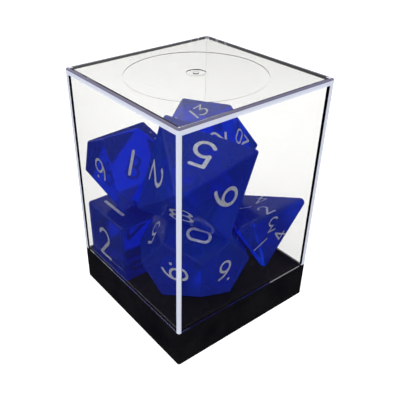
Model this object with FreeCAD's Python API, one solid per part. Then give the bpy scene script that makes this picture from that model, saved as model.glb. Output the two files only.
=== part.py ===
import FreeCAD, Part

import itertools
import math
import os

from FreeCAD import Matrix, Placement, Rotation, Vector

# Boxed set of seven polyhedral dice: a clear push-on cover over a black
# base, with a d4, d6, d8, d10, percentile d10, d12 and d20 piled inside.
# Millimetres. The origin is the centre of the base's underside, +Z is up.

# Box
BOX_SIDE = 38.0
BASE_HEIGHT = 9.0
BOX_HEIGHT = 54.4
SEAM_GAP = 0.05
BOX_CORNER_RADIUS = 0.5

# How far a cutting shape runs past what it cuts
MARGIN = 1.0

# Clear cover
COVER_WALL = 1.4
TONGUE_THICKNESS = 0.6
TONGUE_BOTTOM = 7.8
LID_RING_DIAMETER = 29.0
LID_RING_DEPTH = 0.15
GATE_DIAMETER = 4.0
GATE_DEPTH = 0.2
GATE_NUB_DIAMETER = 1.2

# Black base
DICE_FLOOR = 7.6
RIM_THICKNESS = 0.65
TRAY_CORNER_RADIUS = 0.5
BASE_WALL = 1.5
BASE_DECK = 1.6
RIB_THICKNESS = 1.4
POST_DIAMETER = 6.0

# Dice
EDGE_RADIUS = 0.6
TIP_RADIUS = 1.0
D4_EDGE = 21.5
D6_EDGE = 15.0
D8_EDGE = 19.0
D10_RADIUS = 11.2
D10_POLE_RATIO = 1.1
D100_RADIUS = 10.64
D12_EDGE = 8.36
D20_EDGE = 12.17

# Where each die lies in the pile: centre, then yaw, pitch and roll in degrees
D4_PLACE = ((8.86, -11.4, 21.12), (-98.9, -47.3, 140.9))
D6_PLACE = ((-9.46, 9.94, DICE_FLOOR + D6_EDGE / 2 + 0.02), (0, 0, 0))
D8_PLACE = ((-7.46, -9.63, 37.10), (37.6, 17.1, 56.9))
D10_PLACE = ((-9.39, 8.55, 33.58), (-4.2, 54.9, -41.9))
D100_PLACE = ((7.6, 7.37, 15.28), (130.1, 38.2, 145.3))
D12_PLACE = ((-6.11, -7.73, 18.51), (-102.0, 29.6, 68.0))
D20_PLACE = ((8.16, 5.68, 33.57), (90.4, -26.1, -20.0))

# Numerals: a groove filled with paint that stops just under the surface
GROOVE_DEPTH = 0.35
PAINT_RECESS = 0.08
GROOVE_OVERCUT = 0.5
GLYPH_WIDTH = 0.58
ONE_WIDTH = 0.14
GLYPH_GAP = 0.16
DOT_RADIUS = 0.075
SIX_DOT = (0.46, 0.05)
NINE_DOT = (0.42, -0.42)

# (height, half the stroke's width, whether a lone 6 or 9 has a dot)
D4_STYLE = (4.0, 0.24, False)
D6_STYLE = (8.0, 0.42, False)
D8_STYLE = (6.6, 0.42, False)
D10_STYLE = (5.2, 0.30, True)
D100_STYLE = (4.0, 0.26, False)
D12_STYLE = (5.0, 0.30, True)
D20_STYLE = (3.7, 0.25, True)

# How far along a kite from its blunt corner, and how far from a triangle's
# centre towards the edge across from the number's own corner
KITE_NUMERAL_PLACE = 0.41
VERTEX_NUMERAL_OFFSET = 0.25

# The number on each face, from the top face down, and the corner or side that
# its top points to. The d4 has a number for each corner.
D4_VALUES = ("4", "1", "2", "3")
D6_NUMBERS = (("1", 2), ("5", 0), ("4", 0), ("2", 3), ("3", 0), ("6", 0))
D8_NUMBERS = (("1", 1), ("5", 2), ("6", 1), ("7", 2), ("3", 0), ("2", 2), ("8", 1), ("4", 0))
D10_NUMBERS = ("8", "5", "0", "2", "3", "9", "7", "6", "1", "4")
D12_NUMBERS = (("6", 1), ("5", 4), ("10", 2), ("1", 0), ("9", 4), ("2", 0),
               ("4", 0), ("11", 0), ("12", 0), ("3", 0), ("8", 0), ("7", 0))
D20_NUMBERS = (("13", 2), ("2", 0), ("10", 0), ("17", 0), ("20", 1), ("7", 0), ("18", 0),
               ("9", 0), ("6", 0), ("16", 0), ("15", 0), ("5", 0), ("12", 0), ("3", 0),
               ("1", 0), ("14", 0), ("11", 0), ("4", 0), ("19", 0), ("8", 0))

# Numbers of the d6 that sit off their face's centre: to their right, and up
D6_SHIFTS = {"1": (4.2, -1.1), "2": (-0.9, -0.8)}

GOLDEN = (1 + math.sqrt(5)) / 2


# ---------------------------------------------------------------- the box

def centred_box(side, bottom, top):
    return Part.makeBox(side, side, top - bottom, Vector(-side / 2, -side / 2, bottom))


def upright_edges(shape):
    """The four corner edges of a box that run along Z."""
    return [e for e in shape.Edges if abs(e.tangentAt(e.FirstParameter).z) > 0.99]


def top_edges(shape, top):
    return [e for e in shape.Edges if all(abs(v.Z - top) < 1e-6 for v in e.Vertexes)]


def disc(diameter, bottom, height):
    return Part.makeCylinder(diameter / 2, height, Vector(0, 0, bottom))


def clear_cover():
    """Five clear walls, open below, with a thin tongue inside the base's rim."""
    seam = BASE_HEIGHT + SEAM_GAP
    outside = centred_box(BOX_SIDE, seam, BOX_HEIGHT)
    rounded = upright_edges(outside) + top_edges(outside, BOX_HEIGHT)
    outside = outside.makeFillet(BOX_CORNER_RADIUS, rounded)

    cavity_side = BOX_SIDE - 2 * COVER_WALL
    tongue_side = cavity_side + 2 * TONGUE_THICKNESS
    tongue = centred_box(tongue_side, TONGUE_BOTTOM, seam + MARGIN)

    lid_underside = BOX_HEIGHT - COVER_WALL
    cavity = centred_box(cavity_side, TONGUE_BOTTOM - MARGIN, lid_underside)

    shell = outside.fuse(tongue).cut(cavity)
    shell = shell.cut(disc(LID_RING_DIAMETER, lid_underside - MARGIN, MARGIN + LID_RING_DEPTH))
    gate_floor = BOX_HEIGHT - GATE_DEPTH
    gate = disc(GATE_DIAMETER, gate_floor, MARGIN).cut(disc(GATE_NUB_DIAMETER, gate_floor, MARGIN))
    return shell.cut(gate).removeSplitter()


def black_base():
    """A shallow tray on a hollow plinth that is ribbed underneath."""
    outside = centred_box(BOX_SIDE, 0, BASE_HEIGHT)
    outside = outside.makeFillet(BOX_CORNER_RADIUS, upright_edges(outside))
    tray = centred_box(BOX_SIDE - 2 * RIM_THICKNESS, DICE_FLOOR, BASE_HEIGHT + MARGIN)
    tray = tray.makeFillet(TRAY_CORNER_RADIUS, upright_edges(tray))

    hollow_top = DICE_FLOOR - BASE_DECK
    hollow_side = BOX_SIDE - 2 * BASE_WALL
    hollow = centred_box(hollow_side, -MARGIN, hollow_top)
    rib = Part.makeBox(hollow_side, RIB_THICKNESS, hollow_top + 3 * MARGIN,
                       Vector(-hollow_side / 2, -RIB_THICKNESS / 2, -2 * MARGIN))
    cross_rib = rib.copy()
    cross_rib.rotate(Vector(0, 0, 0), Vector(0, 0, 1), 90)
    post = disc(POST_DIAMETER, -2 * MARGIN, hollow_top + 3 * MARGIN)
    hollow = hollow.cut(rib.fuse([cross_rib, post]))
    return outside.cut(tray).cut(hollow).removeSplitter()


# ------------------------------------------------------ corners of the dice

def tetrahedron(edge):
    scale = edge / math.sqrt(8)
    return [Vector(*p) * scale for p in ((1, 1, 1), (1, -1, -1), (-1, 1, -1), (-1, -1, 1))]


def cube(edge):
    return [Vector(*p) * (edge / 2) for p in itertools.product((1, -1), repeat=3)]


def octahedron(edge):
    reach = edge / math.sqrt(2)
    return [axis * (sign * reach) for axis in (Vector(1, 0, 0), Vector(0, 1, 0), Vector(0, 0, 1))
            for sign in (1, -1)]


def trapezohedron(radius):
    """Ten kites: two poles, and ten corners that zigzag about the equator."""
    pole = radius * D10_POLE_RATIO
    fifth = math.cos(math.pi / 5)
    zigzag = pole * (1 - fifth) / (1 + fifth)
    corners = [Vector(0, 0, pole), Vector(0, 0, -pole)]
    for k in range(10):
        angle = k * math.pi / 5
        height = zigzag if k % 2 == 0 else -zigzag
        corners.append(Vector(radius * math.cos(angle), radius * math.sin(angle), height))
    return corners


def cyclic_corners(a, b):
    """The twelve points (0, +-a, +-b) and their cyclic swaps."""
    points = []
    for i, j in itertools.product((a, -a), (b, -b)):
        points += [Vector(0, i, j), Vector(i, j, 0), Vector(j, 0, i)]
    return points


def dodecahedron(edge):
    unit = edge * GOLDEN / 2
    return cube(2 * unit) + cyclic_corners(unit / GOLDEN, unit * GOLDEN)


def icosahedron(edge):
    return cyclic_corners(edge / 2, edge / 2 * GOLDEN)


# ----------------------------------------------------------- flat-faced solids

def mean(points):
    total = Vector(0, 0, 0)
    for point in points:
        total = total + point
    return total * (1 / len(points))


def anticlockwise_angle(direction, normal, start):
    side = normal.cross(start)
    return math.atan2(direction.dot(side), direction.dot(start))


def ordered_corners(points, on_face, normal):
    """Corners anticlockwise from outside, the highest one first."""
    centre = mean([points[i] for i in on_face])
    start = (points[on_face[0]] - centre).normalize()
    ring = sorted(on_face, key=lambda i: anticlockwise_angle(points[i] - centre, normal, start))
    highest = max(ring, key=lambda i: (round(points[i].z, 3), round(points[i].x, 3),
                                       round(points[i].y, 3)))
    first = ring.index(highest)
    return [points[i] for i in ring[first:] + ring[:first]]


def polyhedron_faces(points):
    """(normal, corners) of each face of the convex hull, the top face first."""
    found = {}
    for a, b, c in itertools.combinations(range(len(points)), 3):
        normal = (points[b] - points[a]).cross(points[c] - points[a])
        if normal.Length < 1e-6:
            continue
        normal.normalize()
        reach = normal.dot(points[a])
        if reach < 0:
            normal, reach = normal * -1, -reach
        if reach < 1e-6 or any(normal.dot(p) > reach + 1e-6 for p in points):
            continue
        on_face = tuple(i for i, p in enumerate(points) if abs(normal.dot(p) - reach) < 1e-6)
        found[on_face] = normal

    def top_first(item):
        normal = item[1]
        turn = math.atan2(normal.y, normal.x) % (2 * math.pi)
        return (-round(normal.z, 4), round(turn, 4))

    ranked = sorted(found.items(), key=top_first)
    return [(normal, ordered_corners(points, list(on_face), normal)) for on_face, normal in ranked]


def rounded_solid(faces, radius):
    sides = [Part.Face(Part.makePolygon(corners + corners[:1])) for _, corners in faces]
    sharp = Part.Solid(Part.Shell(sides))
    return sharp.makeFillet(radius, sharp.Edges).Solids[0]


# -------------------------------------------------------------------- numerals

def line(*points):
    return ("line", points)


def arc(centre, radius, start, end):
    """Anticlockwise from start to end, in degrees."""
    return ("arc", centre, radius, start, end)


# Strokes of each digit in a frame one unit high, centred on the origin.
STROKES = {
    "0": [arc((0, 0.22), 0.24, 0, 180), line((-0.24, 0.22), (-0.24, -0.22)),
          arc((0, -0.22), 0.24, 180, 360), line((0.24, -0.22), (0.24, 0.22))],
    "1": [line((0, 0.46), (0, -0.46))],
    "2": [arc((0, 0.22), 0.24, -45, 165), line((0.17, 0.05), (-0.25, -0.46), (0.27, -0.46))],
    "3": [line((-0.22, 0.46), (0.24, 0.46), (-0.02, 0.10)), arc((-0.02, -0.18), 0.28, -150, 90)],
    "4": [line((0.10, -0.46), (0.10, 0.46), (-0.27, -0.18), (0.28, -0.18))],
    "5": [line((0.22, 0.46), (-0.17, 0.46), (-0.21, 0.03)), arc((-0.01, -0.18), 0.28, -150, 133)],
    "6": [arc((0, -0.20), 0.26, 0, 180), arc((0, -0.20), 0.26, 180, 360),
          arc((0.44, -0.20), 0.70, 118, 180)],
    "7": [line((-0.25, 0.46), (0.25, 0.46), (-0.08, -0.46))],
    "8": [arc((0, 0.24), 0.22, 0, 180), arc((0, 0.24), 0.22, 180, 360),
          arc((0, -0.22), 0.24, 0, 180), arc((0, -0.22), 0.24, 180, 360)],
    "9": [arc((0, 0.20), 0.26, 0, 180), arc((0, 0.20), 0.26, 180, 360),
          arc((-0.44, 0.20), 0.70, -62, 0)],
}


def polar(centre, radius, degrees):
    angle = math.radians(degrees)
    return Vector(centre[0] + radius * math.cos(angle), centre[1] + radius * math.sin(angle), 0)


def pen_disc(point, pen):
    return Part.Face(Part.Wire(Part.makeCircle(pen, point)))


def line_faces(points, pen):
    """A straight bar for each run, with round ends and joins."""
    points = [Vector(x, y, 0) for x, y in points]
    faces = [pen_disc(point, pen) for point in points]
    for start, end in zip(points, points[1:]):
        along = (end - start).normalize()
        side = Vector(-along.y, along.x, 0) * pen
        outline = [start + side, start - side, end - side, end + side, start + side]
        faces.append(Part.Face(Part.makePolygon(outline)))
    return faces


def arc_faces(centre, radius, start, end, pen):
    """A curved bar of constant width, closed as a ring or with round ends."""
    middle = Vector(centre[0], centre[1], 0)
    outer, inner = radius + pen, radius - pen
    if end - start >= 360:
        ring = Part.Face(Part.Wire(Part.makeCircle(outer, middle)))
        return [ring.cut(Part.Face(Part.Wire(Part.makeCircle(inner, middle))))]
    up = Vector(0, 0, 1)
    outer_arc = Part.makeCircle(outer, middle, up, start, end)
    inner_arc = Part.makeCircle(inner, middle, up, start, end)
    caps = [Part.makeLine(polar(centre, inner, a), polar(centre, outer, a)) for a in (start, end)]
    band = Part.Face(Part.Wire(Part.__sortEdges__([outer_arc, inner_arc] + caps)))
    return [band] + [pen_disc(polar(centre, radius, a), pen) for a in (start, end)]


def digit_face(digit, height, pen):
    """The flat outline of one digit, centred on the origin."""
    faces = []
    for stroke in STROKES[digit]:
        if stroke[0] == "line":
            faces += line_faces([(x * height, y * height) for x, y in stroke[1]], pen)
        else:
            _, (x, y), radius, start, end = stroke
            faces += arc_faces((x * height, y * height), radius * height, start, end, pen)
    if len(faces) == 1:
        return faces[0]
    return faces[0].fuse(faces[1:]).removeSplitter()


def numeral_faces(text, style):
    """The digits of a number side by side, with a dot after a lone 6 or 9."""
    height, pen, dotted = style
    widths = [ONE_WIDTH if digit == "1" else GLYPH_WIDTH for digit in text]
    total = sum(widths) + GLYPH_GAP * (len(text) - 1)
    faces = []
    left = -total / 2
    for digit, width in zip(text, widths):
        face = digit_face(digit, height, pen)
        face.translate(Vector((left + width / 2) * height, 0, 0))
        faces.append(face)
        left += width + GLYPH_GAP
    if dotted and text in ("6", "9"):
        x, y = SIX_DOT if text == "6" else NINE_DOT
        faces.append(pen_disc(Vector(x * height, y * height, 0), DOT_RADIUS * height))
    return faces


def face_frame(centre, normal, up):
    """A placement whose +Z is the face's normal and whose +Y is the numeral's top."""
    up = (up - normal * up.dot(normal)).normalize()
    right = up.cross(normal)
    return Placement(Matrix(right.x, up.x, normal.x, centre.x,
                            right.y, up.y, normal.y, centre.y,
                            right.z, up.z, normal.z, centre.z,
                            0, 0, 0, 1))


def engraving(text, style, frame):
    """(cutters, paint) for one number on the face that frame describes."""
    cutters, paint = [], []
    for face in numeral_faces(text, style):
        face.translate(Vector(0, 0, -GROOVE_DEPTH))
        for depth, solids in ((GROOVE_DEPTH + GROOVE_OVERCUT, cutters),
                              (GROOVE_DEPTH - PAINT_RECESS, paint)):
            solid = face.extrude(Vector(0, 0, depth))
            solid.transformShape(frame.toMatrix())
            solids += solid.Solids
    return cutters, paint


# ------------------------------------------------------------------- the dice

def corner_marks(faces, numbers):
    """One number on each face, its top towards the corner that numbers gives."""
    marks = []
    for (normal, corners), (text, corner) in zip(faces, numbers):
        centre = mean(corners)
        marks.append((text, centre, normal, corners[corner] - centre))
    return marks


def edge_marks(faces, numbers, shifts):
    """One number on each square face, its top towards an edge."""
    marks = []
    for (normal, corners), (text, side) in zip(faces, numbers):
        centre = mean(corners)
        up = (mean([corners[side], corners[(side + 1) % 4]]) - centre).normalize()
        rightwards, upwards = shifts.get(text, (0, 0))
        place = centre + up.cross(normal) * rightwards + up * upwards
        marks.append((text, place, normal, up))
    return marks


def kite_marks(faces, numbers):
    """One number on each kite, its top towards the pole."""
    marks = []
    for (normal, corners), text in zip(faces, numbers):
        pole = max(corners, key=lambda p: abs(p.z))
        blunt = corners[(corners.index(pole) + 2) % 4]
        marks.append((text, blunt + (pole - blunt) * KITE_NUMERAL_PLACE, normal, pole - blunt))
    return marks


def vertex_marks(faces, points, values):
    """Three numbers on each triangle, each with its top towards its own corner."""
    marks = []
    for normal, corners in faces:
        centre = mean(corners)
        for corner in corners:
            value = values[points.index(corner)]
            up = corner - centre
            marks.append((value, centre - up * VERTEX_NUMERAL_OFFSET, normal, up))
    return marks


def die(faces, radius, marks, style, place):
    """The engraved body and the paint of one die, at its place in the pile."""
    cutters, paint = [], []
    for text, centre, normal, up in marks:
        grooves, fillings = engraving(text, style, face_frame(centre, normal, up))
        cutters += grooves
        paint += fillings
    body = rounded_solid(faces, radius).cut(cutters)
    body = max(body.Solids, key=lambda solid: solid.Volume)
    paint = Part.makeCompound(paint)
    centre, angles = place
    for shape in (body, paint):
        shape.Placement = Placement(Vector(*centre), Rotation(*angles))
    return body, paint


def make_d4():
    points = tetrahedron(D4_EDGE)
    faces = polyhedron_faces(points)
    marks = vertex_marks(faces, points, D4_VALUES)
    return die(faces, TIP_RADIUS, marks, D4_STYLE, D4_PLACE)


def make_d6():
    faces = polyhedron_faces(cube(D6_EDGE))
    marks = edge_marks(faces, D6_NUMBERS, D6_SHIFTS)
    return die(faces, EDGE_RADIUS, marks, D6_STYLE, D6_PLACE)


def make_d8():
    faces = polyhedron_faces(octahedron(D8_EDGE))
    return die(faces, EDGE_RADIUS, corner_marks(faces, D8_NUMBERS), D8_STYLE, D8_PLACE)


def make_d10():
    faces = polyhedron_faces(trapezohedron(D10_RADIUS))
    return die(faces, EDGE_RADIUS, kite_marks(faces, D10_NUMBERS), D10_STYLE, D10_PLACE)


def make_d100():
    faces = polyhedron_faces(trapezohedron(D100_RADIUS))
    tens = [digit + "0" for digit in D10_NUMBERS]
    return die(faces, EDGE_RADIUS, kite_marks(faces, tens), D100_STYLE, D100_PLACE)


def make_d12():
    faces = polyhedron_faces(dodecahedron(D12_EDGE))
    return die(faces, EDGE_RADIUS, corner_marks(faces, D12_NUMBERS), D12_STYLE, D12_PLACE)


def make_d20():
    faces = polyhedron_faces(icosahedron(D20_EDGE))
    return die(faces, EDGE_RADIUS, corner_marks(faces, D20_NUMBERS), D20_STYLE, D20_PLACE)


DICE = {"d4": make_d4, "d6": make_d6, "d8": make_d8, "d10": make_d10,
        "d100": make_d100, "d12": make_d12, "d20": make_d20}


def main():
    os.makedirs("parts", exist_ok=True)
    nodes = {"clear_cover": clear_cover(), "black_base": black_base()}
    for name, make in DICE.items():
        nodes[name + "_body"], nodes[name + "_numeral_paint"] = make()
    for name, shape in nodes.items():
        shape.exportStep("parts/" + name + ".step")
        print(name, len(shape.Solids), "solids", round(shape.Volume, 1), "mm3", shape.isValid())


main()
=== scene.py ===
import math

import bpy
from mathutils import Matrix, Vector


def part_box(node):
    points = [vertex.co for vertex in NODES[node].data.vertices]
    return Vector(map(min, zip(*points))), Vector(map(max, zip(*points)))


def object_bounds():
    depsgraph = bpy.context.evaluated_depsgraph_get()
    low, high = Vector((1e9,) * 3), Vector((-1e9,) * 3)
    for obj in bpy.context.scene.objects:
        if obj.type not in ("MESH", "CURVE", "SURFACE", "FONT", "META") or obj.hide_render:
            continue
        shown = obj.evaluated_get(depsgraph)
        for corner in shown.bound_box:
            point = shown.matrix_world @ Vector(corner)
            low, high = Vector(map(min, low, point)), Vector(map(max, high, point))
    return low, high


# A clear box on a black base, with seven translucent blue dice piled inside.
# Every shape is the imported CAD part; this script gives it its looks.

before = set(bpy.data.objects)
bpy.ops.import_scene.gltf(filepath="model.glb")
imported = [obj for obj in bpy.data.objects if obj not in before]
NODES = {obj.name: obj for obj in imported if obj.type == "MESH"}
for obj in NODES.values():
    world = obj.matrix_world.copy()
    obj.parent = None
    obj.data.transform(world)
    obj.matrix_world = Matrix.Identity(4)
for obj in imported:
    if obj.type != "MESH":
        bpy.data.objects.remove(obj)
cad_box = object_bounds()

DICE = ("d4", "d6", "d8", "d10", "d100", "d12", "d20")

# Camera, in the part's frame: metres, degrees, and millimetres at its sensor
CAMERA_PLACE = Vector((-0.06655, -0.08072, 0.09016))
CAMERA_TURN = -36.694
CAMERA_TILT = 33.519
CAMERA_ROLL = -0.5347
CAMERA_LENS = 48.69
CAMERA_SENSOR = 36
CAMERA_SHIFT = (0.0717, 0.0343)
CAMERA_CLIP = 0.005

# Cover: its plastic, and the painted light and shade along its edges, with their widths in
# metres
CLEAR_TINT = (0.955, 0.953, 0.94)
CLEAR_SHADOW = (0.93, 0.93, 0.92)
PAINTED_EDGE_LIGHT = (0.56, 0.59, 0.69)
PAINTED_RIM_SHADE = (0.14, 0.13, 0.2)
EDGE_BAND = 0.0007
SIDE_EDGE_BAND = 0.0013
LID_BAND = 0.0013
RIM_BAND = 0.0004
PAINTED_EDGE_LIGHT_WEIGHT = 0.8

# Dice: how their resin colours light on its way through, and its shadow
RESIN_PASSES = (0.02, 0.5, 0.93)
RESIN_DENSITY = 190.0
RESIN_SHADOW = (0.12, 0.2, 0.8)

# Studio: a pale glowing floor and sky, both darker where the box mirrors them
FLOOR_SIZE = 6.0
FLOOR_GLOW = 0.85
SKY = (0.93, 0.93, 0.93)
MIRRORED_FLOOR = 0.04
MIRRORED_FLOOR_TINT = (0.75, 0.65, 1.0)
MIRRORED_SKY = 0.45
MIRRORED_SKY_LEAN = -0.6

# Soft square lamps: name, place (m), width (m), power (W)
LAMPS = (("key", (-0.35, -0.15, 0.45), 0.25, 2.2),
         ("fill", (0.4, -0.35, 0.3), 0.3, 1.0),
         ("back", (0.15, 0.45, 0.4), 0.3, 1.6))
LAMP_AIM = Vector((0, 0, 0.025))


# ------------------------------------------------------------------ node tools

class Tree:
    """A short way to write a node tree."""

    def __init__(self, tree):
        self.tree = tree
        tree.nodes.clear()

    def add(self, kind, inputs=None, **settings):
        """Adds a node. Each input is a node's output, a number, or a colour's three numbers."""
        node = self.tree.nodes.new(kind)
        for name, value in settings.items():
            setattr(node, name, value)
        for name, value in (inputs or {}).items():
            socket = node.inputs[name]
            if isinstance(value, bpy.types.NodeSocket):
                self.tree.links.new(value, socket)
            elif socket.type == "RGBA":
                socket.default_value = (*value, 1)
            else:
                socket.default_value = value
        return node

    def coordinates(self, kind="Object"):
        return self.add("ShaderNodeTexCoord").outputs[kind]

    def axes(self, place):
        split = self.add("ShaderNodeSeparateXYZ", {"Vector": place})
        return [split.outputs[axis] for axis in "XYZ"]

    def noise(self, scale, detail=3.0, roughness=0.5, distortion=0.0):
        return self.add("ShaderNodeTexNoise", {
            "Vector": self.coordinates(), "Scale": scale, "Detail": detail,
            "Roughness": roughness, "Distortion": distortion}).outputs["Fac"]

    def ramp(self, factor, stops):
        node = self.add("ShaderNodeValToRGB", {"Fac": factor})
        elements = node.color_ramp.elements
        while len(elements) < len(stops):
            elements.new(1.0)
        for element, (position, colour) in zip(elements, stops):
            element.position = position
            element.color = (*colour, 1)
        return node.outputs["Color"]

    def span(self, factor, low, high, from_low=0.0, from_high=1.0):
        return self.add("ShaderNodeMapRange", {
            "Value": factor, "From Min": from_low, "From Max": from_high,
            "To Min": low, "To Max": high}).outputs["Result"]

    def calc(self, operation, *values):
        node = self.add("ShaderNodeMath", dict(enumerate(values)), operation=operation)
        return node.outputs["Value"]

    def blend(self, factor, one, other):
        """Mixes two colours. A Mix node's colours are its inputs 6 and 7, and its output 2."""
        node = self.add("ShaderNodeMix", {0: factor, 6: one, 7: other}, data_type="RGBA")
        return node.outputs[2]

    def bump(self, height, strength, distance):
        return self.add("ShaderNodeBump", {
            "Height": height, "Strength": strength, "Distance": distance}).outputs["Normal"]

    def shader(self, inputs):
        return self.add("ShaderNodeBsdfPrincipled", inputs).outputs["BSDF"]

    def mix(self, factor, one, other):
        return self.add("ShaderNodeMixShader", {0: factor, 1: one, 2: other}).outputs["Shader"]

    def clear_to_lamps(self, shader, tint):
        """Lets lamps shine through a clear piece, tinted, so that its shadow isn't black."""
        shadow = self.add("ShaderNodeLightPath").outputs["Is Shadow Ray"]
        through = self.add("ShaderNodeBsdfTransparent", {"Color": tint})
        return self.mix(shadow, shader, through.outputs["BSDF"])

    def finish(self, surface, output="ShaderNodeOutputMaterial", **inputs):
        self.add(output, {"Surface": surface, **inputs})


def material(name):
    made = bpy.data.materials.new(name)
    made.use_nodes = True
    return made, Tree(made.node_tree)


# ------------------------------------------------------------------- materials

def painted_edge_light_and_shade(t):
    """Painted light and shade along the cover's edges, as two values that are 1 there and 0
    elsewhere.

    The first is painted light, standing in for light piped along the walls, beside the vertical
    edges and just under the lid's top edge. The second is painted shade, the dark band on that
    top edge itself.
    """
    x, y, z = t.axes(t.coordinates())
    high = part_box("clear_cover")[1]
    to_side = t.calc("SUBTRACT", high.x, t.calc("ABSOLUTE", x))
    to_front = t.calc("SUBTRACT", high.y, t.calc("ABSOLUTE", y))
    to_top = t.calc("SUBTRACT", high.z, z)
    nearest = t.calc("MINIMUM", to_side, to_front)
    farther = t.calc("MAXIMUM", to_side, to_front)
    front_or_back = t.calc("GREATER_THAN", t.calc("MULTIPLY", x, y), 0.0)
    band = t.span(front_or_back, SIDE_EDGE_BAND, EDGE_BAND)
    upright_light = t.calc("LESS_THAN", farther, band)
    lid_light = t.calc("MULTIPLY", t.calc("LESS_THAN", to_top, LID_BAND),
                      t.calc("LESS_THAN", nearest, RIM_BAND))
    painted_rim_shade = t.calc("MULTIPLY", lid_light, t.calc("LESS_THAN", to_top, RIM_BAND))
    return t.calc("MAXIMUM", upright_light, lid_light), painted_rim_shade


def clear_plastic():
    made, t = material("clear_plastic")
    ripple = t.noise(90.0, 2.0)
    painted_light, painted_rim_shade = painted_edge_light_and_shade(t)
    # Along its edges the plastic turns less clear and shows painted light, and painted shade on
    # top
    surface = t.shader({
        "Base Color": t.blend(painted_light, CLEAR_TINT, t.blend(painted_rim_shade, PAINTED_EDGE_LIGHT, PAINTED_RIM_SHADE)),
        "Roughness": 0.0,
        "IOR": 1.49,
        "Transmission Weight": t.span(painted_light, 1.0, 1.0 - PAINTED_EDGE_LIGHT_WEIGHT),
        "Normal": t.bump(ripple, 0.05, 0.00002),
    })
    t.finish(t.clear_to_lamps(surface, CLEAR_SHADOW))
    return made


def black_plastic():
    made, t = material("black_plastic")
    grain = t.noise(2600.0, 2.0)
    smudge = t.noise(150.0, 4.0, 0.6)
    surface = t.shader({
        "Base Color": t.ramp(smudge, [(0.3, (0.002, 0.002, 0.003)),
                                      (0.75, (0.006, 0.006, 0.007))]),
        "Roughness": t.span(smudge, 0.16, 0.34, 0.3, 0.7),
        "IOR": 1.45,
        "Specular IOR Level": 0.04,
        "Normal": t.bump(grain, 0.08, 0.00002),
    })
    t.finish(surface)
    return made


def blue_resin():
    made, t = material("blue_resin")
    swirl = t.noise(70.0, 3.0, 0.5, 0.8)
    polish = t.noise(420.0, 2.0)
    surface = t.shader({
        "Base Color": t.ramp(swirl, [(0.3, (0.002, 0.035, 0.58)),
                                     (0.55, (0.004, 0.055, 0.7)),
                                     (0.8, (0.015, 0.09, 0.82))]),
        "Roughness": 0.16,
        "IOR": 1.5,
        "Specular IOR Level": 0.0,
        "Transmission Weight": 0.84,
        "Coat Weight": 0.35,
        "Coat Roughness": 0.04,
        "Coat IOR": 1.45,
        "Coat Normal": t.bump(polish, 0.08, 0.00003),
    })
    inside = t.add("ShaderNodeVolumeAbsorption",
                   {"Color": RESIN_PASSES, "Density": RESIN_DENSITY})
    t.finish(t.clear_to_lamps(surface, RESIN_SHADOW), Volume=inside.outputs["Volume"])
    return made


def numeral_paint():
    made, t = material("numeral_paint")
    grain = t.noise(1500.0, 3.0, 0.6)
    surface = t.shader({
        "Base Color": t.ramp(grain, [(0.3, (0.46, 0.49, 0.56)),
                                     (0.7, (0.74, 0.76, 0.82))]),
        "Roughness": t.span(grain, 0.3, 0.5),
        "Metallic": 0.5,
        "Normal": t.bump(grain, 0.3, 0.00004),
    })
    t.finish(surface)
    return made


def assign(node, made):
    NODES[node].data.materials.clear()
    NODES[node].data.materials.append(made)


assign("clear_cover", clear_plastic())
assign("black_base", black_plastic())
resin, paint = blue_resin(), numeral_paint()
for die in DICE:
    assign(die + "_body", resin)
    assign(die + "_numeral_paint", paint)


# ----------------------------------------------------------------------- stage

def mirrored(t):
    """1 for light that reaches the eye by a reflection, and 0 for what is seen otherwise."""
    return t.span(t.add("ShaderNodeLightPath").outputs["Glossy Depth"], 0.0, 1.0)


def pale_floor():
    mesh = bpy.data.meshes.new("floor")
    half = FLOOR_SIZE / 2
    corners = [(-half, -half, 0), (half, -half, 0), (half, half, 0), (-half, half, 0)]
    mesh.from_pydata(corners, [], [(0, 1, 2, 3)])
    floor = bpy.data.objects.new("floor", mesh)
    bpy.context.scene.collection.objects.link(floor)
    made, t = material("pale_floor")
    paper = t.shader({
        "Base Color": t.ramp(t.noise(40.0), [(0.3, (0.3, 0.3, 0.3)),
                                             (0.7, (0.32, 0.32, 0.32))]),
        "Roughness": 0.9,
        "Specular IOR Level": 0.1,
        "Emission Color": (1, 1, 1),
        "Emission Strength": FLOOR_GLOW,
    })
    dark = t.add("ShaderNodeEmission",
                 {"Color": MIRRORED_FLOOR_TINT, "Strength": MIRRORED_FLOOR})
    t.finish(t.mix(mirrored(t), paper, dark.outputs["Emission"]))
    mesh.materials.append(made)
    floor.location.z = cad_box[0].z


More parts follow.
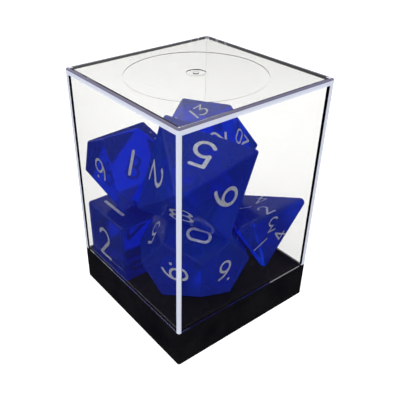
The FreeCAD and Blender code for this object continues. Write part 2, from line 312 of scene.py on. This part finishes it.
def sky():
    world = bpy.data.worlds.new("studio")
    bpy.context.scene.world = world
    world.use_nodes = True
    t = Tree(world.node_tree)
    x, y, _ = t.axes(t.coordinates("Generated"))
    behind = t.calc("MULTIPLY_ADD", x, MIRRORED_SKY_LEAN, y)
    shaded = t.ramp(t.span(behind, 0.0, 1.0, -1.0, 1.0),
                    [(0.1, (0.2, 0.2, 0.22)), (0.5, (0.6, 0.6, 0.62)), (0.9, (1, 1, 1))])
    light = t.add("ShaderNodeBackground", {
        "Color": t.blend(mirrored(t), SKY, shaded),
        "Strength": t.span(mirrored(t), 1.0, MIRRORED_SKY)})
    t.finish(light.outputs["Background"], "ShaderNodeOutputWorld")


def soft_lamp(name, place, width, power):
    """A lamp that lights the part but is never seen, mirrored or through plastic."""
    data = bpy.data.lights.new(name, "AREA")
    data.shape = "SQUARE"
    data.size = width
    data.energy = power
    lamp = bpy.data.objects.new(name, data)
    lamp.location = place
    lamp.rotation_euler = (LAMP_AIM - lamp.location).to_track_quat("-Z", "Y").to_euler()
    lamp.visible_glossy = False
    lamp.visible_transmission = False
    bpy.context.scene.collection.objects.link(lamp)


def camera():
    data = bpy.data.cameras.new("camera")
    data.lens = CAMERA_LENS
    data.sensor_width = CAMERA_SENSOR
    data.shift_x, data.shift_y = CAMERA_SHIFT
    data.clip_start = CAMERA_CLIP
    turn, tilt = math.radians(CAMERA_TURN), math.radians(CAMERA_TILT)
    back = Vector((math.sin(turn) * math.cos(tilt), -math.cos(turn) * math.cos(tilt),
                   math.sin(tilt)))
    right = Vector((0, 0, 1)).cross(back).normalized()
    up = back.cross(right)
    roll = math.radians(CAMERA_ROLL)
    right, up = (right * math.cos(roll) + up * math.sin(roll),
                 up * math.cos(roll) - right * math.sin(roll))
    eye = bpy.data.objects.new("camera", data)
    eye.matrix_world = Matrix.Translation(CAMERA_PLACE) @ Matrix(
        (right, up, back)).transposed().to_4x4()
    bpy.context.scene.collection.objects.link(eye)
    bpy.context.scene.camera = eye


pale_floor()
sky()
for name, place, width, power in LAMPS:
    soft_lamp(name, place, width, power)
camera()

scene = bpy.context.scene
scene.view_settings.view_transform = "Standard"
scene.cycles.max_bounces = 24
scene.cycles.transmission_bounces = 24
scene.cycles.transparent_max_bounces = 32
